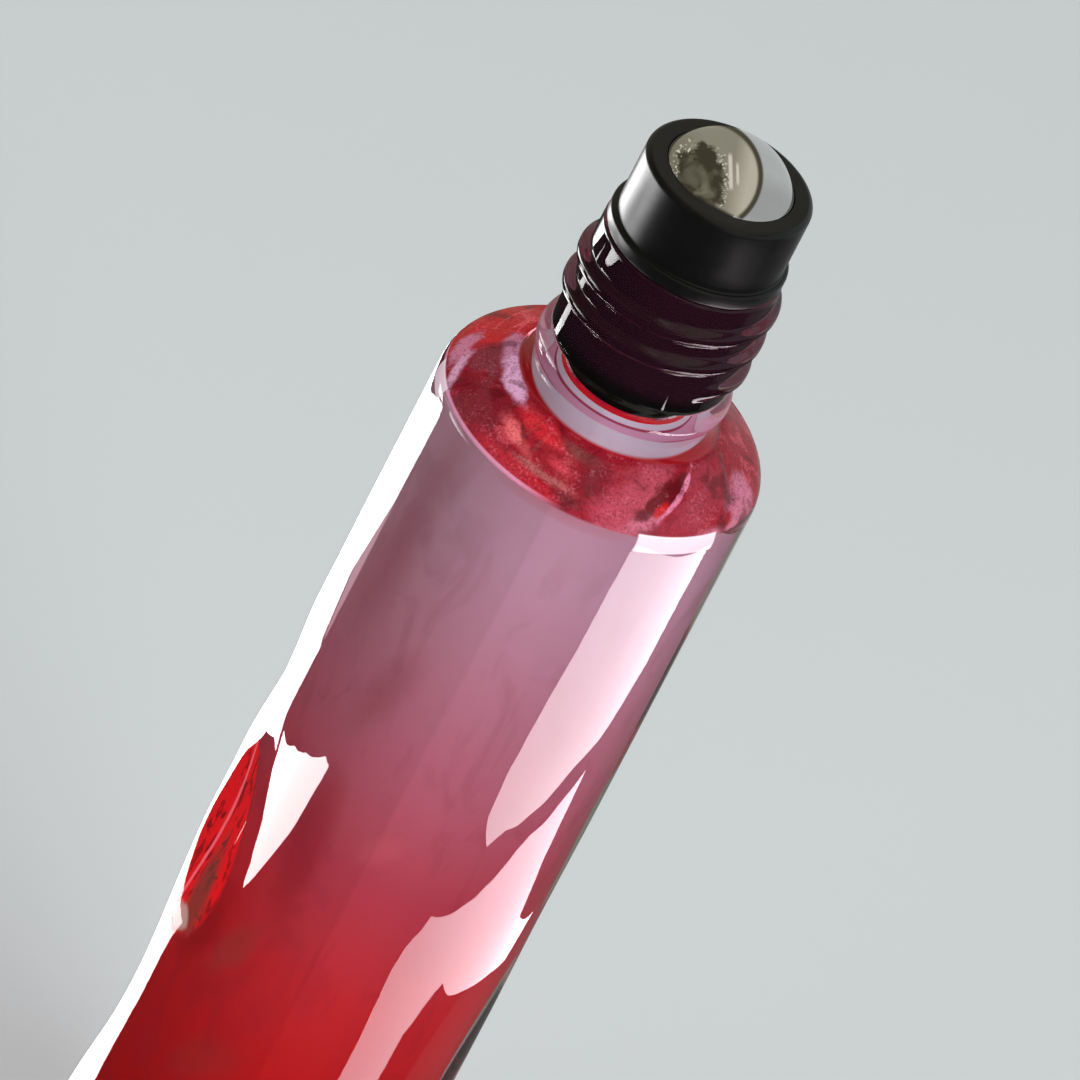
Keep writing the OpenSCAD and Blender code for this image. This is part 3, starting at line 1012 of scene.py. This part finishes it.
# The fields of each panel in order
STRIPS = (
    ("strip_right_high", (45, -34), (45, 17), (
        (0, 45), (-1, 38), (-2, 30), (-5, 22), (-6, 17), (0, 15), (11, 16.5), (17, 19), (22, 20),
        (29, 22), (36, 26), (44, 29), (48, 33), (49, 45)), 7, 8.5, (1, 0.9, 0.94)),
    ("strip_right_low", (45, -34), (45, 17), (
        (44, 24), (36, 21), (31, 20), (22, 17), (14, 14), (-6, 5), (-16, -3), (-18, -6), (-14, -10),
        (-14, -60), (10, -60), (12, -30), (16, -1), (15, 2), (21, 7), (23, 8), (40, 6), (56, 3),
        (69, -1), (76, 0), (52, 11), (46, 17)), 6.5, 9.5, (1, 0.8, 0.87)),
    ("strip_left", (-45, -34), (-45, 17), (
        (42, 17), (28, 19), (19, 18.5), (6, 16), (0, 13.5), (3, 9), (11, 7), (15, 6.5), (19, 9),
        (28, 12), (42, 12)), 16, 16),
    ("strip_back", (-47, 19), (-5, 50), (
        (52, 43), (-8, 43), (-5, 31), (3, 27), (-3, 20), (-17, 12), (-34, 0), (-42, -5), (-20, -1),
        (-6, 6.5), (5, 9.6), (18, 10.2), (22, 8.5), (22, 5.5), (8, 5), (2, 2.5), (-3, 0), (-9, -3),
        (-16, -11), (-22, -24), (-22, -60), (52, -60)), 9, 9),
    ("strip_back_edge", (-47, 19), (-5, 50), (
        (-8, 43), (-15, 43), (-14, 31), (-7, 26), (-12, 19), (-28, 10), (-38, 2), (-35, 0), (-18, 12),
        (-4, 20), (2, 27), (-6, 31)), 2, 2, (1, 0.75, 0.85)),
    ("strip_neck", (-47, 19), (-5, 50), ((-6, 45), (6, 45), (6, 52), (-6, 52)), 8, 8),
    ("flag_left", (-52, -60), (-52, 22), (
        (0, -90), (82, -90), (82, 53), (0, 53)), 0.035, 0.035),
    ("flag_back", (-74, 5), (-8, 54), (
        (0, -90), (112, -90), (112, 53), (0, 53)), 0.035, 0.035),
)


@dataclass
class Studio:
    """A plain pale floor, soft light and the camera."""

    pale: Colour = screen(199, 204, 205)
    sheet: Colour = tuple(0.95 * c for c in pale)
    flag: Colour = (0.035, 0.034, 0.031)
    room: Colour = screen(157, 154, 138)
    room_warm: Colour = screen(208, 203, 186)
    room_dark: Colour = screen(72, 68, 54)
    room_olive: Colour = screen(134, 130, 112)
    room_bright: Colour = screen(250, 246, 232)
    door_frame: Colour = screen(84, 80, 66)
    # The far sheet starts beyond a slanting plane, and at its foot, in degrees of rise
    far_edge: Colour = (0.8, 0.188, -0.572)
    far_from: Point = (0.035, 0.045)
    far_foot: Point = (-6, -2)
    floor_colour: Colour = (0.53, 0.56, 0.565)
    # A tinted card lies on the floor at the left, seen only through the glass
    card: Colour = screen(142, 180, 150)
    card_from: Point = (0.025, 0.05)
    floor_half: float = 6.0
    daylight: float = 0.49
    elevation: float = 33.5
    lean: float = 27.5
    target: Colour = (-0.11, 0, 61.06)
    distance: float = 2000.0
    frame_width: float = 66.54
    sensor: float = 36.0
    bounces: int = 24
    # The room in shares of a mirror ball: the middles of the doorway and of the dark shape in it, that
    # shape's lean as a cosine and a sine, the edges of the frame and the sheet, the sheet's end, the room's
    # foot, and the haze on the sheet
    door: Point = (-0.29, 0.25)
    shape: Point = (-0.285, 0.25)
    shape_turn: Point = (0.87, 0.48)
    frame_edge: Point = (0.64, 0.685)
    sheet_edge: Point = (0.715, 0.745)
    sheet_from: Point = (-0.45, -0.3)
    room_from: Point = (-0.08, -0.02)
    haze: Band = (0.1, 0.4, 0.3)
    # The bright gleams of the room: place across, half width, and ends along
    gleams: tuple[tuple[float, ...], ...] = ((0.306, 0.014, -0.22, 0.14), (0.395, 0.006, -0.1, 0.08))
    # Soft lights far away, seen only in reflections: middle, half turn, lowest and highest rise, strength
    # and softness, all but the strength in degrees
    soft_boxes: tuple[tuple[float, ...], ...] = (
        (180, 70, -40, 12, 0.15, 2), (-112, 26, -40, -28, 12, 18))

    def build_camera(self) -> None:
        """Builds the camera: long lens, looking down at the shoulder, leaning."""
        camera = bpy.data.cameras.new("camera")
        camera.sensor_width = self.sensor
        camera.lens = self.sensor * self.distance / self.frame_width
        camera.clip_start = 0.01
        camera.clip_end = 100
        item = placed("camera", camera)
        tilt = Matrix.Rotation(radians(90 - self.elevation), 4, "X")
        tilt = tilt @ Matrix.Rotation(radians(self.lean), 4, "Z")
        back = Matrix.Translation((0, 0, self.distance * MM))
        item.matrix_world = Matrix.Translation(Vector(self.target) * MM) @ tilt @ back
        bpy.context.scene.camera = item

    def build_floor(self) -> None:
        """Builds the floor that the bottle stands on."""
        bm = bmesh.new()
        bmesh.ops.create_grid(bm, x_segments=1, y_segments=1, size=self.floor_half)
        floor = placed("floor", bm)
        bench = NodeBench(bpy.data.materials.new("floor_pale"))
        shade = bench.out("BsdfDiffuse", {"Color": self.floor_colour})
        card = (-bench.split(bench.place())[0]).rise(*self.card_from)
        glow = bench.out("Emission", {"Color": bench.mixed(card, self.pale, self.card), "Strength": 1})
        through = bench.add("LightPath").outputs["Is Transmission Ray"]
        floor.data.materials.append(bench.finish(bench.out("MixShader", {0: through, 1: shade, 2: glow})))
        floor.visible_glossy = False

    def build_lamps(self) -> None:
        """Builds the soft lamps, each aimed at the shoulder."""
        for lamp in Lamp:
            place, size, power = lamp.value
            light = bpy.data.lights.new(lamp.name.lower(), "AREA")
            light.shape = "DISK"
            light.size = size
            light.energy = power
            item = placed(lamp.name.lower(), light)
            aim = Vector((0, 0, self.target[2] * MM)) - Vector(place)
            turned = aim.to_track_quat("-Z", "Y").to_matrix().to_4x4()
            item.matrix_world = Matrix.Translation(place) @ turned
            item.visible_camera = item.visible_glossy = item.visible_transmission = False

    def room_above(self, bench: NodeBench, *direction: Signal) -> tuple[Signal, Socket]:
        """Builds the room above, laid out as a mirror ball in front of the camera shows it.

        Args:
            bench: The bench of the world.
            direction: The parts of the direction along X, Y and Z.

        Returns:
            Where the room is seen, and its colour.
        """
        x, y, z = direction
        tilt = radians(self.elevation)
        facing = z * sin(tilt) - y * cos(tilt)
        spread = ((facing + 1.0001) * 2).math("SQRT")
        right = x / spread
        above = (y * sin(tilt) + z * cos(tilt)) / spread
        flat = bench.out("CombineXYZ", {0: right, 1: above})
        fine = bench.noise(flat, 7, 3, 0.5)
        # The doorway: warm walls inside a dark frame, and the pale sheet outside
        from_middle = (right - self.door[0]).hypot(above - self.door[1])
        colour = (right + above * 0.3).stops([
            (-0.75, self.room_olive), (-0.35, self.room), (0.1, self.room), (0.35, self.room_warm)])
        (away, off), (cosine, sine) = (right - self.shape[0], above - self.shape[1]), self.shape_turn
        across, along = away * cosine + off * sine, away * sine - off * cosine
        for middle, half_width, low, high in self.gleams:
            gleam = across.band(middle - half_width, middle + half_width, 0.02)
            colour = bench.mixed(gleam * along.band(low, high, 0.08) * 0.8, colour, self.room_bright)
        reach = ((across + 0.09) * 8.2 ** 0.5).hypot((along - 0.05) * 4.2 ** 0.5) + (fine - 0.5) * 0.9
        dark = (bench.noise(flat, 3.5, 3, 0.5) + right * 0.2).stops([
            (0.42, self.room_dark), (0.62, self.room_olive)])
        glints = bench.noise(flat, 26, 2).rise(0.54, 0.62)
        glints = glints * across.math("ABSOLUTE").rise(0.1, 0.2) * reach.band(0.9, 1.02, 0.08)
        haze = 1 - 0.2 * above.band(*self.haze)
        colour = bench.layered(
            colour, (reach.fall(0.86, 1.04), dark), (glints * 0.9, self.room_bright),
            (from_middle.rise(*self.frame_edge), self.door_frame),
            (from_middle.rise(*self.sheet_edge) * right.rise(*self.sheet_from),
             bench.mixed(1, self.sheet, haze, "MULTIPLY")))
        return above.rise(*self.room_from), colour

    def build_world(self) -> None:
        """Builds the daylight, and the soft boxes that glass and steel reflect."""
        bench = NodeBench(bpy.data.worlds.new("studio"))
        x, y, z = bench.split(bench.add("TexCoord").outputs["Generated"])
        turn = x.math("ARCTAN2", -y).math("DEGREES")
        upward = z.math("ARCSINE").math("DEGREES")
        beyond = self.far_edge[0] * x + self.far_edge[1] * y + self.far_edge[2] * z
        sheet = beyond.rise(*self.far_from) * upward.rise(*self.far_foot)
        seen = bench.mixed(sheet, self.flag, self.sheet)
        for middle, half_turn, low, high, strength, soft in self.soft_boxes:
            away = (turn - middle).math("WRAP", 180, -180).math("ABSOLUTE")
            mask = away.fall(half_turn, half_turn + soft) * upward.band(low, high, soft)
            seen = bench.mixed(mask, seen, (strength,) * 3)
        upper, room = self.room_above(bench, x, y, z)
        seen = bench.mixed(upper, seen, room)
        paths = bench.add("LightPath").outputs
        plain = Signal(bench, paths["Is Camera Ray"]).math("MAXIMUM", paths["Is Transmission Ray"])
        daylight, backdrop, boxes = (
            bench.out("Background", {"Color": colour, "Strength": strength})
            for colour, strength in ((WHITE, self.daylight), (self.pale, 1), (seen, 1)))
        light = bench.out("MixShader", {0: plain, 1: daylight, 2: backdrop})
        light = bench.out("MixShader", {0: paths["Is Glossy Ray"], 1: light, 2: boxes})
        bpy.context.scene.world = bench.finish(light)

    def build(self) -> None:
        """Builds the whole studio."""
        self.build_camera()
        self.build_floor()
        self.build_lamps()
        self.build_world()
        for row in STRIPS:
            StripLight(*row).build()
        scene = bpy.context.scene
        scene.view_settings.view_transform = "Standard"
        cycles = scene.cycles
        cycles.max_bounces = cycles.transmission_bounces = cycles.glossy_bounces = self.bounces


def main() -> None:
    """Builds the studio and the bottle."""
    logging.basicConfig(level=logging.INFO, format="%(name)s: %(message)s")
    Studio().build()
    glass = GlassBottle()
    cartridge = RollerCartridge(glass)
    makers = (glass.build, FragranceOil(glass).build, cartridge.build_housing, cartridge.build_ball)
    for piece in (make() for make in makers):
        LOG.info("%s: %d faces", piece.name, len(piece.data.polygons))
    cartridge.dress_hidden()


if __name__ == "__main__":
    main()
